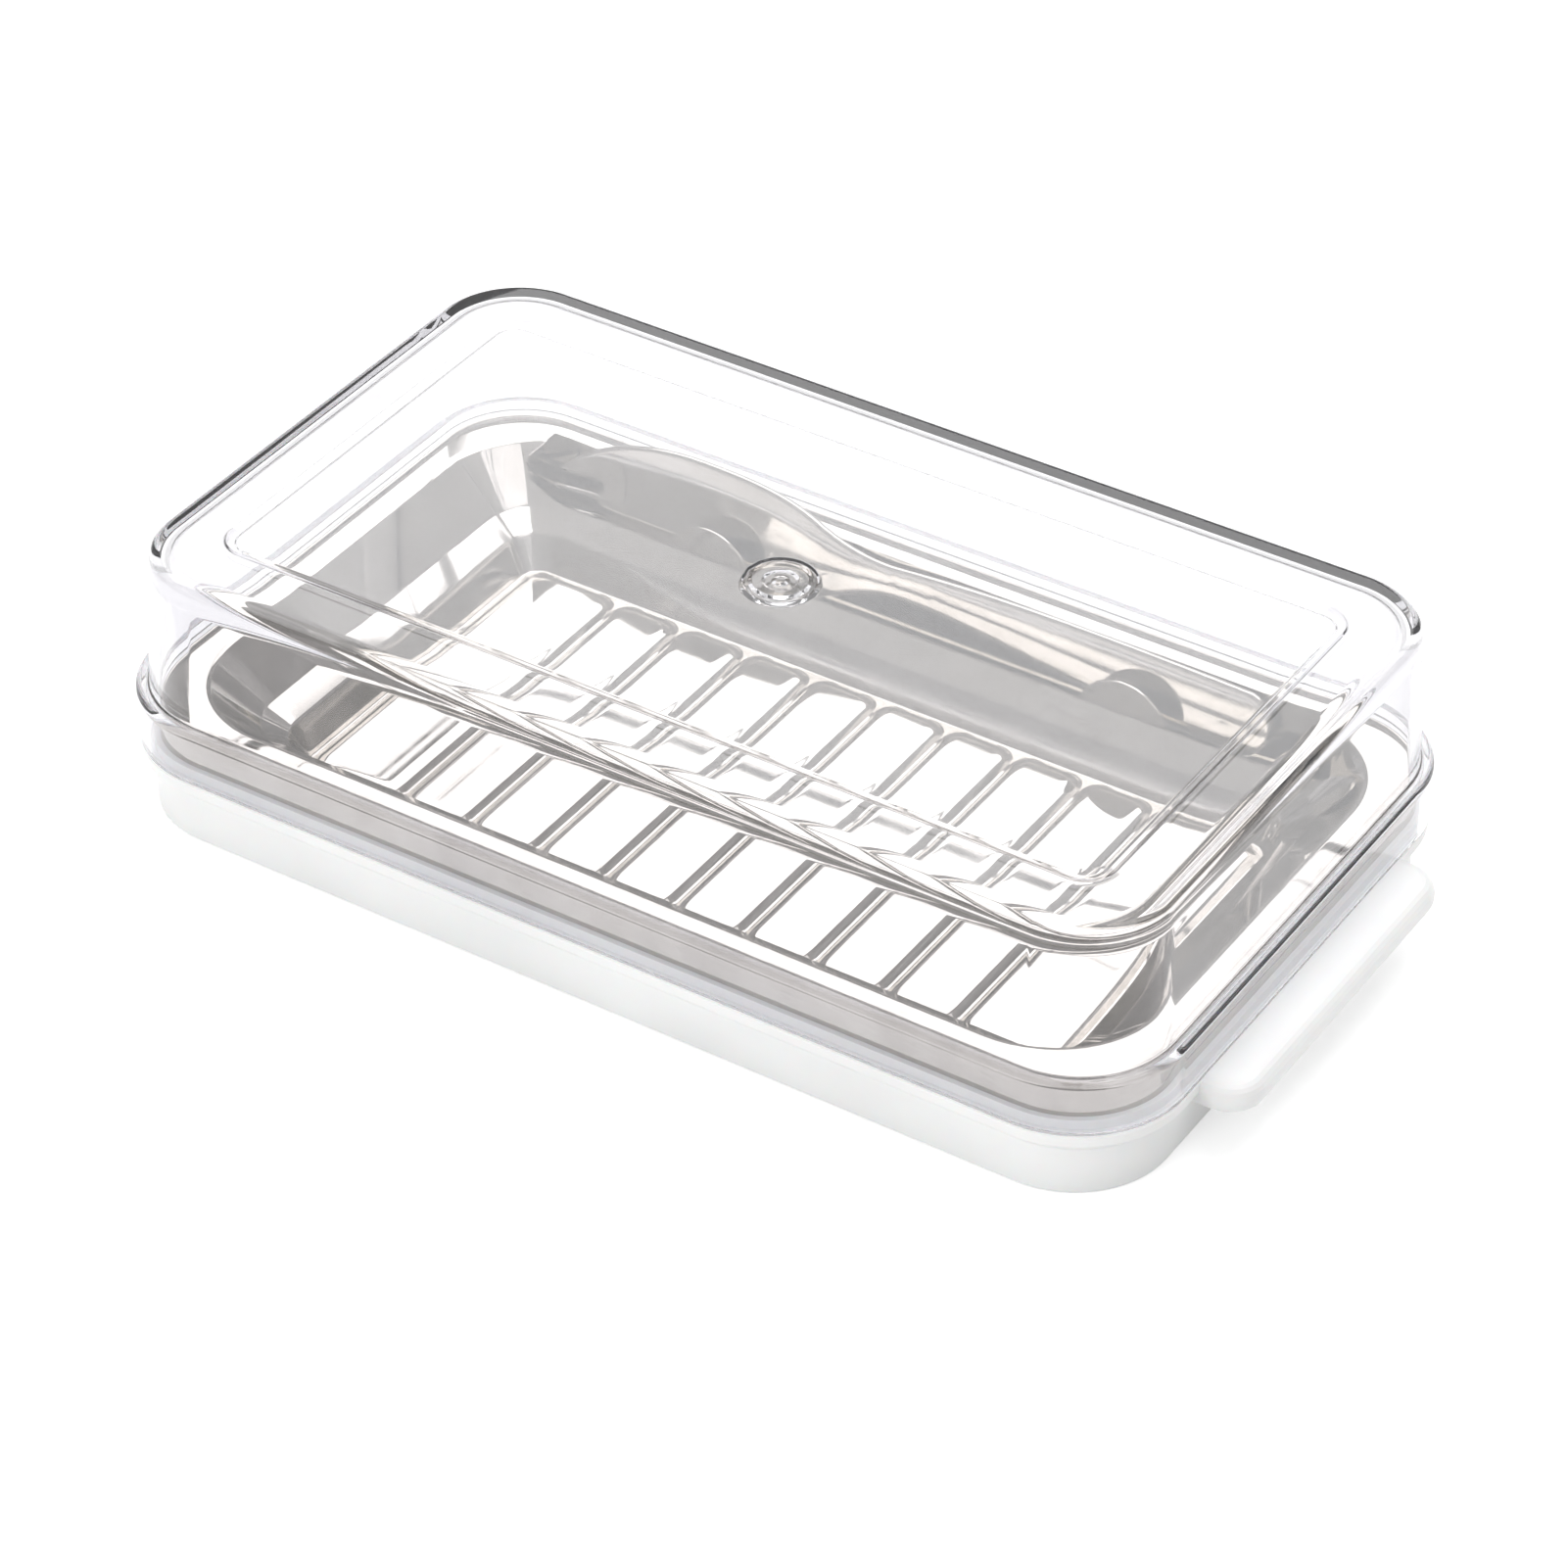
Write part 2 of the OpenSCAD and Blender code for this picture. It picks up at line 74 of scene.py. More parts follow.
class Wiring:
    """A material's node tree, with short calls for adding and joining nodes."""

    def __init__(self, tree: bpy.types.NodeTree) -> None:
        """Clears the tree.

        Args:
            tree: The node tree of a material or of the world.
        """
        self.tree = tree
        tree.nodes.clear()

    def add(self, kind: str, **values: object) -> bpy.types.Node:
        """Adds a node and sets its properties or input sockets.

        Args:
            kind: The node's type name.
            **values: Properties by name, or inputs by name with spaces as underscores.

        Returns:
            The new node.
        """
        node = self.tree.nodes.new(kind)
        for name, value in values.items():
            socket = node.inputs.get(name.replace("_", " "))
            if socket is not None:
                socket.default_value = value
            else:
                setattr(node, name, value)
        return node

    def join(self, source: bpy.types.NodeSocket, target: bpy.types.NodeSocket) -> None:
        """Links an output socket to an input socket."""
        self.tree.links.new(source, target)

    def grain(
        self, scale: float, detail: float = 3.0, stretch: Point = (1.0, 1.0, 1.0)
    ) -> bpy.types.NodeSocket:
        """Noise in the piece's own coordinates.

        Args:
            scale: Noise scale, in repeats per metre.
            detail: Noise detail.
            stretch: Scale along each axis before the noise.

        Returns:
            The noise's factor socket.
        """
        place = self.add("ShaderNodeTexCoord")
        turn = self.add("ShaderNodeMapping", Scale=stretch)
        noise = self.add("ShaderNodeTexNoise", Scale=scale, Detail=detail)
        self.join(place.outputs["Object"], turn.inputs["Vector"])
        self.join(turn.outputs["Vector"], noise.inputs["Vector"])
        return noise.outputs["Fac"]

    def spread(self, source: bpy.types.NodeSocket, low: float, high: float) -> bpy.types.NodeSocket:
        """Maps a factor of 0.3 to 0.7 to a range.

        Args:
            source: The factor to map.
            low: Value at 0.3.
            high: Value at 0.7.

        Returns:
            The mapped socket.
        """
        span = self.add("ShaderNodeMapRange")
        for index, value in enumerate((0.3, 0.7, low, high), start=1):
            span.inputs[index].default_value = value
        self.join(source, span.inputs[0])
        return span.outputs[0]

    def blend(self, source: bpy.types.NodeSocket, dark: Colour, light: Colour) -> bpy.types.NodeSocket:
        """Mixes two colours by a factor.

        Args:
            source: The factor.
            dark: Colour at a low factor.
            light: Colour at a high factor.

        Returns:
            The mixed colour's socket.
        """
        ramp = self.add("ShaderNodeValToRGB")
        ends = ramp.color_ramp.elements
        ends[0].position, ends[1].position = 0.35, 0.65
        ends[0].color, ends[1].color = (*dark, 1.0), (*light, 1.0)
        self.join(source, ramp.inputs["Fac"])
        return ramp.outputs["Color"]


@dataclass(frozen=True)
class Bend:
    """A corner of a section: distance out, height and rounding radius, in millimetres."""

    out: float
    up: float
    radius: float = 0.0


def rounded(bends: Sequence[Bend], steps: int = 6) -> list[Flat]:
    """Rounds the corners of an open section.

    Args:
        bends: The section's corners in order.
        steps: Chords in each arc.

    Returns:
        Points as (out, up).
    """
    points = [(bends[0].out, bends[0].up)]
    for before, here, after in zip(bends, bends[1:], bends[2:]):
        corner = np.array((here.out, here.up))
        back = np.array((before.out, before.up)) - corner
        on = np.array((after.out, after.up)) - corner
        room = ROUNDING_ROOM * min(np.hypot(*back), np.hypot(*on))
        back, on = back / np.hypot(*back), on / np.hypot(*on)
        half = math.acos(float(np.clip(back @ on, -1, 1))) / 2
        reach = min(here.radius / math.tan(half), room) if here.radius else 0.0
        if reach == 0.0 or half > NEARLY_STRAIGHT:
            points.append((here.out, here.up))
            continue
        middle = (back + on) / np.hypot(*(back + on))
        centre = corner + middle * reach / math.cos(half)
        first, last = corner + back * reach - centre, corner + on * reach - centre
        start = math.atan2(first[1], first[0])
        turn = (math.atan2(last[1], last[0]) - start + math.pi) % (2 * math.pi) - math.pi
        size = float(np.hypot(*first))
        for k in range(steps + 1):
            angle = start + turn * k / steps
            points.append((centre[0] + size * math.cos(angle), centre[1] + size * math.sin(angle)))
    points.append((bends[-1].out, bends[-1].up))
    return points


@dataclass(frozen=True)
class Ring:
    """Points round a rounded rectangle whose corner centres stay put while its radius grows."""

    centre_x: float
    centre_y: float
    along_x: tuple[float, ...]
    along_y: tuple[float, ...]
    arc_steps: int = 14

    def at(self, radius: float) -> np.ndarray:
        """Points of the ring, anticlockwise from the right side's near end.

        Args:
            radius: Distance out from the corner centres.

        Returns:
            An array of (x, y) rows.
        """
        cx, cy = self.centre_x, self.centre_y
        rows: list[Flat] = []
        for quarter, (sx, sy) in enumerate(((1, 1), (-1, 1), (-1, -1), (1, -1))):
            shares = self.along_y if quarter % 2 == 0 else self.along_x
            for share in shares:
                if quarter == 0:
                    rows.append((cx + radius, share * cy))
                elif quarter == 1:
                    rows.append((-share * cx, cy + radius))
                elif quarter == 2:
                    rows.append((-cx - radius, -share * cy))
                else:
                    rows.append((share * cx, -cy - radius))
            for k in range(1, self.arc_steps):
                angle = math.pi / 2 * (quarter + k / self.arc_steps)
                rows.append((sx * cx + radius * math.cos(angle), sy * cy + radius * math.sin(angle)))
        return np.array(rows)


class Skin:
    """Points and faces of a mesh that is being built, in millimetres."""

    def __init__(self) -> None:
        """Starts with nothing."""
        self.points: list[Point] = []
        self.faces: list[tuple[int, ...]] = []

    def add(self, rows: np.ndarray) -> list[int]:
        """Adds points.

        Args:
            rows: An array of (x, y, z) rows.

        Returns:
            Their numbers.
        """
        first = len(self.points)
        self.points.extend(tuple(float(v) for v in row) for row in rows)
        return list(range(first, len(self.points)))

    def level(self, flat: np.ndarray, height: float) -> list[int]:
        """Adds (x, y) points at one height and gives their numbers."""
        return self.add(np.column_stack((flat, np.full(len(flat), height))))

    def band(self, inner: list[int], outer: list[int]) -> None:
        """Joins two closed rings of the same count with quads.

        Args:
            inner: Point numbers of the ring that comes first.
            outer: Point numbers of the ring that comes next.
        """
        count = len(inner)
        for k in range(count):
            n = (k + 1) % count
            self.faces.append((inner[k], outer[k], outer[n], inner[n]))

    def grid(self, rows: list[list[int]]) -> None:
        """Joins open rows of points with quads.

        Args:
            rows: Point numbers, row by row.
        """
        for low, high in zip(rows, rows[1:]):
            for k in range(len(low) - 1):
                self.faces.append((low[k], low[k + 1], high[k + 1], high[k]))

    def thicken(self, depth: float) -> None:
        """Adds a second skin under this one and closes the open edge.

        Args:
            depth: Sheet thickness.
        """
        mesh = self.mesh("thicken", 1.0)
        bm = bmesh.new()
        bm.from_mesh(mesh)
        bm.normal_update()
        lower = [bm.verts.new(v.co - v.normal * depth) for v in list(bm.verts)]
        upper = list(bm.verts)[: len(lower)]
        edges = [e for e in bm.edges if e.is_boundary]
        loops = [(e.link_loops[0].vert.index, e.link_loops[0].link_loop_next.vert.index) for e in edges]
        for face in list(bm.faces):
            bm.faces.new([lower[v.index] for v in reversed(face.verts)])
        for a, b in loops:
            bm.faces.new((upper[b], upper[a], lower[a], lower[b]))
        bm.verts.index_update()
        self.points = [tuple(v.co) for v in bm.verts]
        self.faces = [tuple(v.index for v in f.verts) for f in bm.faces]
        bm.free()
        bpy.data.meshes.remove(mesh)

    def mesh(self, name: str, scale: float = MM) -> bpy.types.Mesh:
        """Turns the skin into a welded mesh.

        Args:
            name: The mesh's name.
            scale: Metres in a unit.

        Returns:
            The mesh.
        """
        bm = bmesh.new()
        made = [bm.verts.new(p) for p in self.points]
        bm.verts.ensure_lookup_table()
        for face in self.faces:
            bm.faces.new([made[k] for k in face])
        bmesh.ops.remove_doubles(bm, verts=bm.verts, dist=WELD)
        bmesh.ops.dissolve_degenerate(bm, dist=SLIVER, edges=bm.edges)
        bmesh.ops.scale(bm, vec=(scale,) * 3, verts=bm.verts)
        mesh = bpy.data.meshes.new(name)
        bm.to_mesh(mesh)
        bm.free()
        return mesh

    def object(self, name: str) -> bpy.types.Object:
        """Turns the skin into an object in the scene.

        Args:
            name: The object's name.

        Returns:
            The object.
        """
        obj = bpy.data.objects.new(name, self.mesh(name))
        bpy.context.scene.collection.objects.link(obj)
        return obj


def prism(outline: Sequence[Flat], low: float, high: float, name: str) -> bpy.types.Object:
    """A closed prism along X from an outline in the YZ plane.

    Args:
        outline: Corners as (y, z), anticlockwise seen from +X.
        low: Its lower end in x.
        high: Its upper end in x.
        name: The object's name.

    Returns:
        The prism.
    """
    skin = Skin()
    near = skin.add(np.array([(high, y, z) for y, z in outline]))
    far = skin.add(np.array([(low, y, z) for y, z in outline]))
    skin.faces.append(tuple(near))
    skin.faces.append(tuple(reversed(far)))
    for k in range(len(near)):
        n = (k + 1) % len(near)
        skin.faces.append((near[n], near[k], far[k], far[n]))
    return skin.object(name)


def cut(target: bpy.types.Object, tool: bpy.types.Object, join: bool) -> None:
    """Joins a solid to a target or cuts it away, and removes the tool.

    Args:
        target: The object that changes.
        tool: The solid.
        join: True to join it, False to cut it away.
    """
    step = target.modifiers.new("cut", "BOOLEAN")
    step.operation = "UNION" if join else "DIFFERENCE"
    step.object, step.solver = tool, "EXACT"
    settle(target)
    bpy.data.objects.remove(tool)


def settle(obj: bpy.types.Object) -> None:
    """Applies an object's modifiers to its mesh.

    Args:
        obj: The object.
    """
    bpy.context.view_layer.update()
    made = bpy.data.meshes.new_from_object(obj.evaluated_get(bpy.context.evaluated_depsgraph_get()))
    obj.modifiers.clear()
    obj.data = made


def smooth(obj: bpy.types.Object, sharp_deg: float = 50.0) -> None:
    """Shades a piece smooth, with sharp edges kept and its flats kept flat.

    Args:
        obj: The piece.
        sharp_deg: Edges that turn by more than this stay sharp.
    """
    mesh = obj.data
    mesh.polygons.foreach_set("use_smooth", [True] * len(mesh.polygons))
    mesh.set_sharp_from_angle(angle=math.radians(sharp_deg))
    even = obj.modifiers.new("even", "WEIGHTED_NORMAL")
    even.keep_sharp = True
    settle(obj)


def seat(
    obj: bpy.types.Object, body: Body, material: bpy.types.Material, slot: str, *nodes: str
) -> None:
    """Dresses a piece, lets it ride on its body and stand for its CAD nodes.

    Args:
        obj: The piece.
        body: The body it rides on.
        material: Its finish.
        slot: Not used.
        *nodes: The CAD nodes that it replaces.
    """
    obj.data.materials.clear()
    obj.data.materials.append(material)
    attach(obj, body.value)
    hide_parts(*nodes)
    log.info("%s: %d faces, rides on %s", obj.name, len(obj.data.polygons), body.value)


@dataclass(frozen=True)
class ClearPlastic:
    """Clear moulded plastic that lets the lamps through."""

    name: str = "clear_plastic"
    tint: Colour = (0.92, 0.915, 0.94)
    pale: Colour = (0.94, 0.935, 0.955)
    shadow: Colour = (0.93, 0.93, 0.94)
    clear: float = 0.98
    ior: float = 1.5
    cloud: float = 60.0
    dullest: float = 0.02

    def material(self) -> bpy.types.Material:
        """Builds the material.

        Returns:
            The finished material.
        """
        mat = bpy.data.materials.new(self.name)
        mat.use_nodes = True
        w = Wiring(mat.node_tree)
        shell = w.add("ShaderNodeBsdfPrincipled", IOR=self.ior)
        shell.inputs["Transmission Weight"].default_value = self.clear
        haze = w.grain(self.cloud, 4.0)
        w.join(w.blend(haze, self.tint, self.pale), shell.inputs["Base Color"])
        w.join(w.spread(haze, 0.0, self.dullest), shell.inputs["Roughness"])
        open_ = w.add("ShaderNodeBsdfTransparent")
        open_.inputs["Color"].default_value = (*self.shadow, 1.0)
        path = w.add("ShaderNodeLightPath")
        mix = w.add("ShaderNodeMixShader")
        out = w.add("ShaderNodeOutputMaterial")
        w.join(path.outputs["Is Shadow Ray"], mix.inputs[0])
        w.join(shell.outputs[0], mix.inputs[1])
        w.join(open_.outputs[0], mix.inputs[2])
        w.join(mix.outputs[0], out.inputs["Surface"])
        return mat


@dataclass(frozen=True)
class Steel:
    """Stainless steel, from mirror bright to drawn wire."""

    name: str
    dark: Colour = (0.55, 0.525, 0.485)
    light: Colour = (0.64, 0.615, 0.575)
    rough: tuple[float, float] = (0.03, 0.07)
    grain: float = 90.0
    ripple: float = 25.0
    bump: float = 0.006

    def material(self) -> bpy.types.Material:
        """Builds the material.

        Returns:
            The finished material.
        """
        mat = bpy.data.materials.new(self.name)
        mat.use_nodes = True
        w = Wiring(mat.node_tree)
        metal = w.add("ShaderNodeBsdfPrincipled", Metallic=1.0)
        fine = w.grain(self.grain, 4.0, (1.0, 1.6, 1.0))
        w.join(w.blend(fine, self.dark, self.light), metal.inputs["Base Color"])
        w.join(w.spread(fine, *self.rough), metal.inputs["Roughness"])
        relief = w.add("ShaderNodeBump", Strength=self.bump, Distance=0.0005)
        w.join(w.grain(self.ripple, 2.0), relief.inputs["Height"])
        w.join(relief.outputs[0], metal.inputs["Normal"])
        out = w.add("ShaderNodeOutputMaterial")
        w.join(metal.outputs[0], out.inputs["Surface"])
        return mat


@dataclass(frozen=True)
class WhitePlastic:
    """White moulded plastic, slightly translucent."""

    name: str
    dark: Colour = (0.8, 0.805, 0.8)
    light: Colour = (0.85, 0.855, 0.85)
    rough: tuple[float, float] = (0.28, 0.4)
    scatter: float = 0.15
    cloud: float = 35.0
    pores: float = 900.0

    def material(self) -> bpy.types.Material:
        """Builds the material.

        Returns:
            The finished material.
        """
        mat = bpy.data.materials.new(self.name)
        mat.use_nodes = True
        w = Wiring(mat.node_tree)
        body = w.add("ShaderNodeBsdfPrincipled")
        body.inputs["Subsurface Weight"].default_value = self.scatter
        body.inputs["Subsurface Scale"].default_value = 0.002
        flow = w.grain(self.cloud, 3.0)
        w.join(w.blend(flow, self.dark, self.light), body.inputs["Base Color"])
        w.join(w.spread(flow, *self.rough), body.inputs["Roughness"])
        relief = w.add("ShaderNodeBump", Strength=0.05, Distance=0.0002)
        w.join(w.grain(self.pores, 2.0), relief.inputs["Height"])
        w.join(relief.outputs[0], body.inputs["Normal"])
        out = w.add("ShaderNodeOutputMaterial")
        w.join(body.outputs[0], out.inputs["Surface"])
        return mat


@dataclass
class Tray:
    """Pressed steel tray with raised pads, a knife channel and two half-round lugs."""

    centre_x: float = 65.5
    centre_y: float = 28.5
    rim_x: float = 74.0
    rim_y: float = 36.3
    pad_z: float = 5.2
    moat_z: float = 4.0
    pad_end_x: float = 68.2
    pad_end_y: float = 31.2
    pad_corner: float = 3.4
    pad_soft: float = 2.5
    pad_curve: float = 2.4
    floor_out: float = 3.05
    half_gap: float = 0.2
    pitch: float = 12.7
    grooves: int = 9
    sheet: float = 0.6
    channel_half: float = 75.0
    edge_y: float = 39.0
    low_z: float = 9.7
    edge_z: float = 12.5
    flange_z: float = 20.4
    lip_z: float = 14.4
    lug_x: float = 39.0
    lug_r: float = 8.2
    lug_z: float = 10.3
    channel_outside: tuple[Flat, ...] = (
        (38.9, 11.9), (39.75, 7.3), (40.1, 6.5), (45.3, 6.5), (45.7, 7.3), (47.5, 20.1),
    )
    channel_inside: tuple[Flat, ...] = (
        (39.0, 12.5), (39.5, 12.5), (39.65, 12.3), (40.35, 7.9), (40.6, 7.35), (41.1, 7.1),
        (44.3, 7.1), (44.85, 7.35), (45.15, 8.0), (46.8, 20.4), (47.0, 22.0), (39.0, 22.0),
    )

    def groove_places(self) -> list[float]:
        """Centre of each groove along X."""
        first = -(self.grooves - 1) / 2
        return [(first + k) * self.pitch for k in range(self.grooves)]

    def pad_height(self, flat: np.ndarray) -> np.ndarray:
        """Height of the padded floor.

        Args:
            flat: An array of (x, y) rows.

        Returns:
            The height at each row.
        """
        last = self.pad_end_x + self.half_gap
        lines = [-last, *self.groove_places(), last]
        depth = np.full(len(flat), -1.0)
        for low, high in zip(lines, lines[1:]):
            half = (high - low) / 2 - self.half_gap
            qx = np.abs(flat[:, 0] - (low + high) / 2) - (half - self.pad_corner)
            qy = np.abs(flat[:, 1]) - (self.pad_end_y - self.pad_corner)
            inside = np.minimum(np.maximum(qx, qy), 0)
            outside = np.hypot(np.maximum(qx, 0), np.maximum(qy, 0))
            depth = np.maximum(depth, -(inside + outside - self.pad_corner))
        share = np.clip(depth / self.pad_soft, 0, 1)
        return self.moat_z + (self.pad_z - self.moat_z) * (1 - (1 - share) ** self.pad_curve)

    def lines_x(self) -> list[float]:
        """Places across the floor where the mesh has a line, dense at the grooves.

        Returns:
            The places in x, in order.
        """
        near = (0.0, 0.2, 0.4, 0.65, 0.95, 1.3, 1.7, 2.1, 2.6, 3.1, 3.7, 4.4)
        places = {round(g + s * n, 4) for g in self.groove_places() for n in near for s in (-1, 1)}
        places |= {s * v for v in (61.0, 62.5, 63.5, 64.2, 64.9, self.centre_x) for s in (-1, 1)}
        return sorted(places)

    def lines_y(self) -> list[float]:
        """Places along the floor's width where the mesh has a line."""
        near = (self.centre_y, 28.0, 27.4, 26.8, 26.0, 25.0, 22.0, 12.0, 0.0)
        return sorted({s * v for v in near for s in (-1, 1)})

    def sheet_skin(self) -> Skin:
        """Builds the sheet from the pads out to the foot of the lip.

        Returns:
            The sheet with its thickness.
        """
        xs, ys = self.lines_x(), self.lines_y()
        shares_x = tuple(x / self.centre_x for x in xs)
        shares_y = tuple(y / self.centre_y for y in ys)
        inner = Ring(self.centre_x, self.centre_y, shares_x, shares_y)
        outer = Ring(self.rim_x, self.rim_y, shares_x, shares_y)
        skin = Skin()
        rows = []
        for y in ys:
            flat = np.array([(x, y) for x in xs])
            rows.append(skin.add(np.column_stack((flat, self.pad_height(flat)))))
        skin.grid(rows)
        last: list[int] = []
        for radius in np.linspace(0, self.floor_out, 12):
            flat = inner.at(float(radius))
            ring = skin.add(np.column_stack((flat, self.pad_height(flat))))
            if last:
                skin.band(last, ring)
            last = ring
        wall = rounded([
            Bend(self.floor_out, self.moat_z), Bend(3.5, self.moat_z, 0.5),
            Bend(6.2, self.low_z, 1.2), Bend(10.5, self.edge_z, 2.2),
            Bend(18.3, self.flange_z, 1.6), Bend(19.6, self.flange_z),
        ])
        lip = rounded([
            Bend(13.6, self.flange_z), Bend(15.3, self.flange_z, 0.9), Bend(15.3, self.lip_z),
        ])
        for path, section in ((inner, wall[1:]), (outer, lip)):
            for out, up in section:
                ring = skin.level(path.at(out), up)
                skin.band(last, ring)
                last = ring
        skin.thicken(self.sheet)
        return skin

    def channel(self, obj: bpy.types.Object) -> None:
        """Sinks the knife channel into the sheet's far wall.

        Args:
            obj: The sheet.
        """
        half, end = self.channel_half, self.channel_half - self.sheet
        under = self.channel_outside
        body = [*under, (39.2, 20.1), (39.2, 12.3)]
        cut(obj, prism(body, -end - 0.1, end + 0.1, "channel_body"), True)
        for low, high in ((-half, -end), (end, half)):
            plate = [(39.1, 15.9), *under[2:], (44.4, 20.1), (42.0, 18.2)]
            cut(obj, prism(plate, low, high, "channel_end"), True)
        cut(obj, prism(self.channel_inside, -end, end, "channel_hollow"), False)

    def lug(self, place: float) -> bpy.types.Object:
        """Builds one half-round lug.

        Args:
            place: Its middle along X.

        Returns:
            The lug.
        """
        start = math.asin((self.edge_z - 0.5 - self.lug_z) / self.lug_r)
        angles = np.linspace(start, math.pi - start, 40)
        r = self.lug_r
        outline = [(place + r * math.cos(a), self.lug_z + r * math.sin(a)) for a in angles]
        obj = prism(outline, -self.edge_y - self.sheet, -self.edge_y, "lug")
        obj.data.transform(Matrix.Rotation(-math.pi / 2, 4, "Z"))
        soft = obj.modifiers.new("soft", "BEVEL")
        soft.width, soft.segments, soft.limit_method = 0.18 * MM, 3, "ANGLE"
        settle(obj)
        return obj

    def build(self) -> None:
        """Builds, dresses and seats the tray."""
        obj = self.sheet_skin().object("pressed_tray")
        self.channel(obj)
        parts = [self.lug(-self.lug_x), self.lug(self.lug_x)]
        with bpy.context.temp_override(active_object=obj, selected_editable_objects=[obj, *parts]):
            bpy.ops.object.join()
        smooth(obj, 38.0)
        seat(obj, Body.TRAY, Steel("tray_steel").material(), "tray_steel", "tray")


@dataclass
class Knife:
    """Butter knife with two slots in its tip, leaning in the channel."""

    thick: float = 1.6
    blade: float = 62.0
    width: float = 18.6
    neck_at: float = -12.0
    handle: float = 75.0
    neck: float = 5.2
    grip: float = 10.4
    slot_depth: float = 9.6
    slot_wide: float = 2.1
    slot_lean_deg: float = 5.0
    edge_round: float = 0.45
    crown: float = 0.16
    crown_in: float = 6.0
    edge_step: float = 0.9
    face_step: float = 1.3
    face_from: float = 1.6
    rims: tuple[float, ...] = (0.12, 0.3, 0.6, 1.0)
    lean_deg: float = 18.13
    seat_y: float = 44.43
    seat_z: float = 16.39

    def curve(self, *ends: tuple[float, float], steps: int = 14) -> list[Flat]:
        """Points along a cubic curve, without its first point.

        Args:
            *ends: Its four control points.
            steps: Number of chords.

        Returns:
            The points.
        """
        p = np.array(ends)
        t = np.linspace(0, 1, steps + 1)[1:, None]
        k = 1 - t
        rows = k**3 * p[0] + 3 * k * k * t * p[1] + 3 * k * t * t * p[2] + t**3 * p[3]
        return [tuple(row) for row in rows]

    def slot_edge(self, number: int) -> list[Flat]:
        """Outline of one slot, from its mouth's lower lip round to its upper lip.

        Args:
            number: 0 for the slot nearer the blade's back.

        Returns:
            The points.
        """
        tip = self.neck_at - self.blade
        cx, cy = tip + 0.6 + self.slot_depth - number * 0.2, -1.3 - 3.6 * number
        lean, r = math.radians(self.slot_lean_deg), self.slot_wide / 2
        along = np.array((math.cos(lean), math.sin(lean)))
        across = np.array((-math.sin(lean), math.cos(lean)))
        centre = np.array((cx, cy))
        rows = [centre - along * (self.slot_depth - 1.2) - across * r]
        for a in np.linspace(-math.pi / 2, math.pi / 2, 9):
            rows.append(centre + along * r * math.cos(a) + across * r * math.sin(a))
        rows.append(centre - along * (self.slot_depth - 1.2) + across * r)
        return [tuple(row) for row in rows]

    def outline(self) -> np.ndarray:
        """The knife's flat outline with its slots, clockwise.

        Returns:
            An array of (x, y) rows.
        """
        top, belly, tip = self.width / 2, -self.width / 2, self.neck_at - self.blade
        end, heel, k = self.neck_at + self.handle, self.neck_at - 9, self.neck_at
        g, n, h = self.grip, self.neck, self.handle
        curves = (
            ((tip + 2.2, -0.6), (tip + 8, top * 0.66), (tip + 17, top), (tip + 29, top)),
            ((tip + 29, top), (tip + 41, top), (heel - 6, top * 0.9), (heel, top * 0.62)),
            ((heel, top * 0.62), (heel + 4, top * 0.46), (k, n * 0.62), (k + 5, n * 0.66)),
            ((k + 5, n * 0.66), (end - h * 0.73, g / 2 - 0.6), (end - h * 0.53, g / 2),
             (end - 4.5, g / 2 - 1)),
            ((end - 4.5, g / 2 - 1), (end, g / 2 - 2), (end + 1.6, -g / 2 + 2.6), (end - 3, -g / 2 - 1)),
            ((end - 3, -g / 2 - 1), (end - h * 0.48, -g / 2 - 0.4), (end - h * 0.67, -n * 0.32),
             (k + 8, -n * 0.3)),
            ((k + 8, -n * 0.3), (k - 2, -n * 0.3), (heel + 2, belly + 1.5), (heel - 9, belly)),
            ((heel - 9, belly), (heel - 20, belly - 0.1), (tip + 16, belly), (tip, belly + 1.4)),
        )
        rows = [curves[0][0]]
        for ends in curves:
            rows += self.curve(*ends)
        rows += self.slot_edge(1)
        rows += self.slot_edge(0)
        return np.array(rows)

    def dense(self, rows: np.ndarray, step: float) -> np.ndarray:
        """Adds points along a closed outline so that none are further apart than a step.

        Args:
            rows: The outline.
            step: The largest gap.

        Returns:
            The finer outline.
        """
        fine: list[np.ndarray] = []
        for a, b in zip(rows, np.roll(rows, -1, axis=0)):
            count = max(1, math.ceil(float(np.hypot(*(b - a))) / step))
            fine.extend(a + (b - a) * k / count for k in range(count))
        return np.array(fine)

    def reach(self, points: np.ndarray, rows: np.ndarray) -> np.ndarray:
        """Distance of points from a closed outline.

        Args:
            points: An array of (x, y) rows.
            rows: The outline.

        Returns:
            The distance of each point.
        """
        ends = np.roll(rows, -1, axis=0)
        best = np.full(len(points), 1e9)
        for a, b in zip(rows, ends):
            line = b - a
            share = np.clip((points - a) @ line / max(float(line @ line), 1e-12), 0, 1)[:, None]
            best = np.minimum(best, np.linalg.norm(points - (a + share * line), axis=1))
        return best

    def half_thickness(self, depth: np.ndarray) -> np.ndarray:
        """Half the knife's thickness at a distance in from its edge.

        Args:
            depth: The distances.

        Returns:
            The half thicknesses.
        """
        r = self.edge_round
        edge = r * (1 - np.sqrt(1 - (1 - np.clip(depth / r, 0, 1)) ** 2))
        fall = self.crown * (1 - np.clip(depth / self.crown_in, 0, 1)) ** 2
        return self.thick / 2 - edge - fall

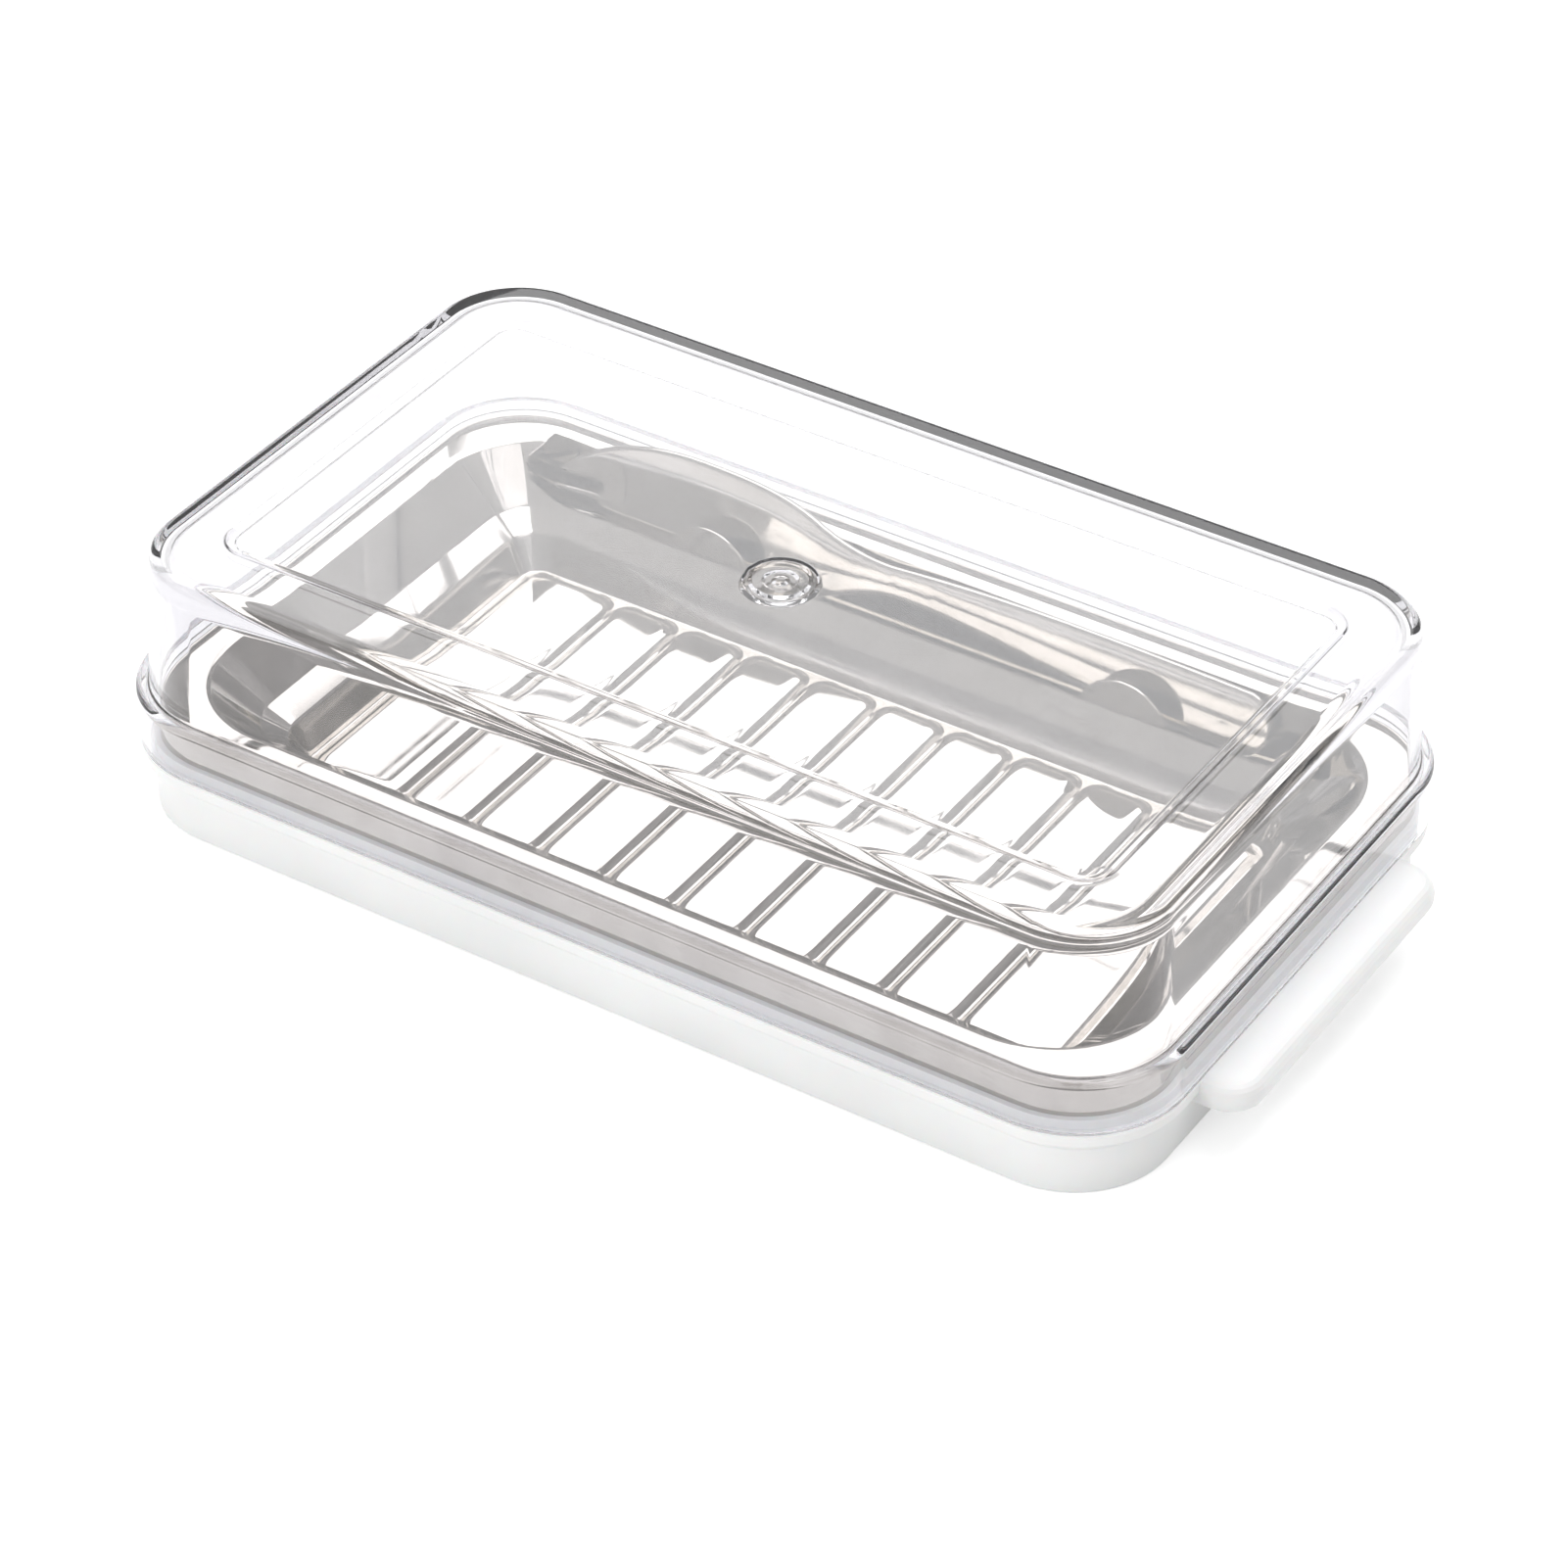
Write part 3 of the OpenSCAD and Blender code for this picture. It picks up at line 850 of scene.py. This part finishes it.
    def build(self) -> None:
        """Builds, dresses and seats the knife."""
        edge = self.dense(self.outline(), self.edge_step)
        low, high = edge.min(0), edge.max(0)
        inside = [edge]
        for depth in self.rims:
            step = np.roll(edge, -1, axis=0) - np.roll(edge, 1, axis=0)
            turned = np.column_stack((step[:, 1], -step[:, 0])) / np.linalg.norm(step, axis=1)[:, None]
            rows = edge + turned * depth
            inside.append(rows[self.reach(rows, edge) > depth * 0.93])
        columns, lines = (np.arange(low[k], high[k], self.face_step) for k in (0, 1))
        grid = np.array([(x, y) for x in columns for y in lines])
        inside.append(grid[self.reach(grid, edge) > self.face_from])
        points = np.vstack(inside)
        loop = list(range(len(edge)))
        made, _, faces, *_ = delaunay_2d_cdt([Vector(p) for p in points], [], [loop[::-1]], 1, 1e-5)
        flat = np.array([(p.x, p.y) for p in made])
        half = self.half_thickness(self.reach(flat, edge))
        skin = Skin()
        front = skin.add(np.column_stack((flat, half)))
        back = skin.add(np.column_stack((flat, -half)))
        count: dict[tuple[int, int], int] = {}
        for face in faces:
            skin.faces.append(tuple(front[k] for k in face))
            skin.faces.append(tuple(back[k] for k in reversed(face)))
            for a, b in zip(face, (*face[1:], face[0])):
                count[(a, b)] = count.get((a, b), 0) + 1
        for a, b in count:
            if (b, a) not in count:
                skin.faces.append((front[b], front[a], back[a], back[b]))
        obj = skin.object("butter_knife")
        tilt = Matrix.Rotation(math.radians(90 - self.lean_deg), 4, "X")
        place = Matrix.Translation((0, self.seat_y * MM, self.seat_z * MM))
        obj.data.transform(place @ tilt)
        smooth(obj, 60.0)
        seat(obj, Body.KNIFE, Steel("knife_steel", grain=60.0).material(), "knife_steel", "knife")


@dataclass
class Lid:
    """Clear two-tier lid with a raised panel and a round gate mark."""

    corner_x: float = 74.0
    corner_y: float = 36.3
    corner_r: float = 18.5
    panel_x: float = 73.2
    panel_y: float = 34.3
    panel_r: float = 5.0
    rim_z: float = 12.7
    shelf_z: float = 22.4
    band_z: float = 46.8
    top_z: float = 47.2
    wall: float = 1.6
    dome_in: float = 2.1
    dome_top_in: float = 3.6
    edge_r: float = 1.8
    inner_r: float = 5.0
    gate_r: float = 6.0
    arc_steps: int = 24

    def skirt(self) -> list[Flat]:
        """Section over the shelf, round the foot and up to the ceiling.

        Returns:
            Points as (inset, height).
        """
        plate = self.dome_top_in + self.wall + self.inner_r
        under = self.band_z - self.wall
        return rounded([
            Bend(plate + 1.0, self.band_z), Bend(self.dome_top_in, self.band_z, self.edge_r),
            Bend(self.dome_in, self.shelf_z, 0.5), Bend(0.0, self.shelf_z, 1.2),
            Bend(0.0, self.rim_z, 0.25), Bend(self.wall, self.rim_z, 0.25),
            Bend(self.wall, self.shelf_z - self.wall, 0.5),
            Bend(self.dome_in + self.wall, self.shelf_z - self.wall, 0.5),
            Bend(self.dome_top_in + self.wall, under, self.inner_r), Bend(plate + 1.5, under),
        ], 8)

    def gate(self, over: bool) -> list[Flat]:
        """Section of the gate mark, as (radius, height) from outside in.

        Args:
            over: True for the top, False for the underside.

        Returns:
            The points.
        """
        r, z = self.gate_r, self.top_z if over else self.top_z - self.wall
        if over:
            bends = [
                Bend(r + 1.6, z), Bend(r, z, 0.2), Bend(r - 0.4, z - 0.35, 0.2),
                Bend(r - 1.0, z - 0.3, 0.2), Bend(r - 1.6, z, 0.5), Bend(2.9, z, 0.3),
                Bend(2.4, z - 0.35, 0.25), Bend(1.4, z - 0.3, 0.3), Bend(0.8, z - 0.02, 0.2),
                Bend(0.05, z),
            ]
        else:
            bends = [
                Bend(r + 1.6, z), Bend(r + 0.4, z, 0.6), Bend(r - 1.2, z - 0.55, 1.5),
                Bend(2.0, z - 0.7, 1.5), Bend(0.05, z - 0.7),
            ]
        return rounded(bends, 4)

    def build(self) -> None:
        """Builds, dresses and seats the lid."""
        along_x, along_y = tuple(np.linspace(-1, 1, 9)), tuple(np.linspace(-1, 1, 5))
        wide = Ring(self.corner_x, self.corner_y, along_x, along_y, self.arc_steps)
        panel = Ring(self.panel_x, self.panel_y, along_x, along_y, self.arc_steps)
        skin = Skin()
        flat = panel.at(self.panel_r - 2.0)
        turn = np.arctan2(flat[:, 1] / self.panel_y, flat[:, 0] / self.panel_x)
        circle = np.column_stack((np.cos(turn), np.sin(turn)))
        rings = [skin.level(circle * out, up) for out, up in reversed(self.gate(True))]
        r = self.panel_r
        step = rounded([
            Bend(r - 2.0, self.top_z), Bend(r - 0.1, self.top_z, 0.3),
            Bend(r + 0.2, self.band_z, 0.3), Bend(r + 1.2, self.band_z),
        ], 4)
        rings += [skin.level(panel.at(out), up) for out, up in step]
        rings += [skin.level(wide.at(self.corner_r - inset), up) for inset, up in self.skirt()]
        under = self.band_z - self.wall
        lift = self.top_z - self.wall
        step = rounded([
            Bend(r - 0.4, under), Bend(r - 1.4, under, 0.3),
            Bend(r - 1.7, lift, 0.3), Bend(r - 3.0, lift),
        ], 4)
        rings += [skin.level(panel.at(out), up) for out, up in step]
        rings += [skin.level(circle * out, up) for out, up in self.gate(False)]
        for inner, outer in zip(rings, rings[1:]):
            skin.band(inner, outer)
        skin.faces.append(tuple(rings[0]))
        skin.faces.append(tuple(reversed(rings[-1])))
        obj = skin.object("clear_lid")
        smooth(obj, 80.0)
        seat(obj, Body.LID, ClearPlastic().material(), "lid_clear", "lid")


@dataclass(frozen=True)
class Lamp:
    """One soft square lamp: where it hangs and what it faces in metres, its side and its watts."""

    name: str
    place: Point
    aim: Point
    size: float
    power: float
    reflected: bool = True

    def hang(self) -> None:
        """Hangs the lamp in the scene."""
        data = bpy.data.lights.new(self.name, "AREA")
        data.size, data.energy = self.size, self.power
        obj = bpy.data.objects.new(self.name, data)
        obj.location = self.place
        away = Vector(self.aim) - Vector(self.place)
        obj.rotation_euler = away.to_track_quat("-Z", "Y").to_euler()
        obj.visible_camera = False
        obj.visible_glossy = obj.visible_transmission = self.reflected
        bpy.context.scene.collection.objects.link(obj)


@dataclass
class Studio:
    """Floor, world, tent, lamps and camera."""

    floor_half: float = 6.0
    floor_lift: float = 0.42
    lid_dimming: float = 0.26
    world_light: float = 0.55
    tent_radius: float = 3.5
    tent_pale: float = 0.8
    tent_cast: Colour = (1.0, 0.985, 0.96)
    tent_greys: tuple[Flat, ...] = (
        (0.0, 0.9), (0.07, 0.75), (0.14, 0.18), (0.35, 0.26), (0.7, 0.34), (1.0, 0.45),
    )
    lamps: tuple[Lamp, ...] = (
        Lamp("overhead_softbox", (-0.35, 0.8, 1.2), (-0.35, 0.8, 0.0), 1.7, 21.0),
        Lamp("side_softbox", (1.15, -0.15, 1.2), (0.0, 0.0, 0.0), 0.9, 3.0),
        Lamp("front_fill", (-0.4, -1.4, 0.5), (0.0, 0.0, 0.0), 0.9, 9.0, reflected=False),
    )
    lens_px: float = 5454.77
    turn: float = 0.565008926
    rise: float = 0.647152032
    roll: float = 0.00731502906
    aside: float = 0.821346718
    up: float = 6.61721814
    away: float = 839.459672
    frame_px: float = 1601.0

    def camera(self) -> None:
        """Places the camera at the photograph's viewing angle."""
        flat = math.cos(self.rise)
        back = Vector((math.sin(self.turn) * flat, -math.cos(self.turn) * flat, math.sin(self.rise)))
        side = Vector((math.cos(self.turn), math.sin(self.turn), 0.0))
        over = back.cross(side)
        right = math.cos(self.roll) * side + math.sin(self.roll) * over
        upward = -math.sin(self.roll) * side + math.cos(self.roll) * over
        place = (right * self.aside + upward * self.up + back * self.away) * MM
        data = bpy.data.cameras.new("camera")
        data.sensor_width = 36.0
        data.lens = 36.0 * self.lens_px / self.frame_px
        data.clip_start, data.clip_end = 0.05, 30.0
        cam = bpy.data.objects.new("camera", data)
        turned = Matrix((right, upward, back)).transposed().to_4x4()
        cam.matrix_world = Matrix.Translation(place) @ turned
        bpy.context.scene.collection.objects.link(cam)
        bpy.context.scene.camera = cam

    def floor(self) -> None:
        """Lays the pale floor, white to the camera and a little less so through the lid."""
        h = self.floor_half
        mesh = bpy.data.meshes.new("floor")
        mesh.from_pydata([(-h, -h, 0), (h, -h, 0), (h, h, 0), (-h, h, 0)], [], [(0, 1, 2, 3)])
        obj = bpy.data.objects.new("floor", mesh)
        bpy.context.scene.collection.objects.link(obj)
        mat = bpy.data.materials.new("floor_paper")
        mat.use_nodes = True
        w = Wiring(mat.node_tree)
        paper = w.add("ShaderNodeBsdfDiffuse")
        tone = w.blend(w.grain(300.0), (0.78, 0.78, 0.78), (0.82, 0.82, 0.82))
        w.join(tone, paper.inputs["Color"])
        lift = w.add("ShaderNodeEmission")
        path = w.add("ShaderNodeLightPath")
        dimmer = w.add("ShaderNodeMath", operation="MULTIPLY_ADD")
        dimmer.inputs[1].default_value = -self.lid_dimming
        dimmer.inputs[2].default_value = self.floor_lift
        w.join(path.outputs["Is Transmission Ray"], dimmer.inputs[0])
        w.join(dimmer.outputs[0], lift.inputs["Strength"])
        total = w.add("ShaderNodeAddShader")
        pick = w.add("ShaderNodeMixShader")
        out = w.add("ShaderNodeOutputMaterial")
        w.join(paper.outputs[0], total.inputs[0])
        w.join(lift.outputs[0], total.inputs[1])
        w.join(self.seen(w), pick.inputs[0])
        w.join(paper.outputs[0], pick.inputs[1])
        w.join(total.outputs[0], pick.inputs[2])
        w.join(pick.outputs[0], out.inputs["Surface"])
        obj.data.materials.append(mat)

    def seen(self, w: Wiring) -> bpy.types.NodeSocket:
        """A socket that is 1 for camera, glossy and transmission rays.

        Args:
            w: The wiring to add the nodes to.

        Returns:
            The factor socket.
        """
        path = w.add("ShaderNodeLightPath")
        first = w.add("ShaderNodeMath", operation="MAXIMUM")
        second = w.add("ShaderNodeMath", operation="MAXIMUM")
        w.join(path.outputs["Is Camera Ray"], first.inputs[0])
        w.join(path.outputs["Is Glossy Ray"], first.inputs[1])
        w.join(first.outputs[0], second.inputs[0])
        w.join(path.outputs["Is Transmission Ray"], second.inputs[1])
        return second.outputs[0]

    def world(self) -> None:
        """Makes a white surround that lights the case softly."""
        world = bpy.data.worlds.new("surround")
        world.use_nodes = True
        bpy.context.scene.world = world
        w = Wiring(world.node_tree)
        light = w.add("ShaderNodeBackground", Strength=self.world_light)
        white = w.add("ShaderNodeBackground", Strength=1.0)
        for node in (light, white):
            node.inputs["Color"].default_value = (1.0, 1.0, 1.0, 1.0)
        mix = w.add("ShaderNodeMixShader")
        out = w.add("ShaderNodeOutputWorld")
        w.join(self.seen(w), mix.inputs[0])
        w.join(light.outputs[0], mix.inputs[1])
        w.join(white.outputs[0], mix.inputs[2])
        w.join(mix.outputs[0], out.inputs["Surface"])

    def tent(self) -> None:
        """Hangs the grey tent round the case, grey in the steel and pale in the lid's own edges."""
        skin = Skin()
        turns = np.linspace(0, 2 * math.pi, 49)[:-1]
        circle = np.column_stack((np.cos(turns), np.sin(turns)))
        heights = np.radians(np.linspace(-1, 88, 24))
        rings = [skin.level(circle * math.cos(e), math.sin(e)) for e in heights]
        for low, high in zip(rings, rings[1:]):
            skin.band(high, low)
        skin.faces.append(tuple(rings[-1]))
        mesh = skin.mesh("studio_tent", self.tent_radius)
        obj = bpy.data.objects.new("studio_tent", mesh)
        bpy.context.scene.collection.objects.link(obj)
        obj.visible_camera = obj.visible_diffuse = False
        obj.visible_shadow = obj.visible_volume_scatter = False
        mat = bpy.data.materials.new("tent_cloth")
        mat.use_nodes = True
        w = Wiring(mat.node_tree)
        place = w.add("ShaderNodeTexCoord")
        parts = w.add("ShaderNodeSeparateXYZ")
        ramp = w.add("ShaderNodeValToRGB")
        for height, _ in self.tent_greys[2:]:
            ramp.color_ramp.elements.new(height)
        for stop, (height, grey) in zip(ramp.color_ramp.elements, self.tent_greys):
            stop.position = height
            stop.color = (*(grey * share for share in self.tent_cast), 1.0)
        high = w.add("ShaderNodeMath", operation="DIVIDE")
        high.inputs[1].default_value = self.tent_radius
        glow = w.add("ShaderNodeEmission", Strength=1.0)
        pale = w.add("ShaderNodeEmission", Strength=self.tent_pale)
        path = w.add("ShaderNodeLightPath")
        mirrored = w.add("ShaderNodeMath", operation="MINIMUM")
        pick = w.add("ShaderNodeMixShader")
        out = w.add("ShaderNodeOutputMaterial")
        w.join(place.outputs["Object"], parts.inputs[0])
        w.join(parts.outputs["Z"], high.inputs[0])
        w.join(high.outputs[0], ramp.inputs["Fac"])
        w.join(ramp.outputs["Color"], glow.inputs["Color"])
        mirrored.inputs[1].default_value = 1.0
        w.join(path.outputs["Glossy Depth"], mirrored.inputs[0])
        edge = w.add("ShaderNodeMath", operation="COMPARE")
        edge.inputs[1].default_value = 2.0
        edge.inputs[2].default_value = 0.5
        w.join(path.outputs["Transmission Depth"], edge.inputs[0])
        grey_share = w.add("ShaderNodeMath", operation="SUBTRACT")
        grey_share.use_clamp = True
        w.join(mirrored.outputs[0], grey_share.inputs[0])
        w.join(edge.outputs[0], grey_share.inputs[1])
        w.join(grey_share.outputs[0], pick.inputs[0])
        w.join(pale.outputs[0], pick.inputs[1])
        w.join(glow.outputs[0], pick.inputs[2])
        w.join(pick.outputs[0], out.inputs["Surface"])
        mesh.materials.append(mat)

    def build(self) -> None:
        """Sets up camera, floor, world, tent and lamps."""
        self.camera()
        self.floor()
        self.world()
        self.tent()
        for lamp in self.lamps:
            lamp.hang()
        bpy.context.scene.view_settings.view_transform = "Standard"
        log.info("studio: camera, floor, surround, tent and %d lamps", len(self.lamps))


@dataclass
class Dressing:
    """Puts a finish on CAD nodes that stay as they are."""

    nodes: dict[str, bpy.types.Object]

    def dress(self, material: bpy.types.Material, *names: str) -> None:
        """Gives the named nodes one material.

        Args:
            material: The finish.
            *names: The nodes' names.
        """
        for name in names:
            obj = self.nodes[name]
            obj.data.materials.clear()
            obj.data.materials.append(material)
        log.info("%s on %s", material.name, ", ".join(names))


def main() -> None:
    """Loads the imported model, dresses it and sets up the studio."""
    logging.basicConfig(level=logging.INFO, format="%(name)s: %(message)s")
    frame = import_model()
    dressing = Dressing(frame["nodes"])
    dressing.dress(WhitePlastic("frame_plastic").material(), "cutter_frame")
    rail = WhitePlastic("rail_plastic", (0.74, 0.74, 0.73), (0.8, 0.8, 0.79))
    screw, crimp = Steel("screw_steel", rough=(0.2, 0.32)), Steel("crimp_steel", rough=(0.25, 0.4))
    wire = Steel("wire_steel", rough=(0.15, 0.25))
    dressing.dress(rail.material(), "front_clamp_rail", "back_clamp_rail")
    dressing.dress(screw.material(), "front_rail_screws", "back_rail_screws")
    dressing.dress(crimp.material(), "front_wire_crimps", "back_wire_crimps")
    dressing.dress(wire.material(), *(f"wire_{number}" for number in range(1, 10)))
    Tray().build()
    Knife().build()
    Lid().build()
    Studio().build()


if __name__ == "__main__":
    main()
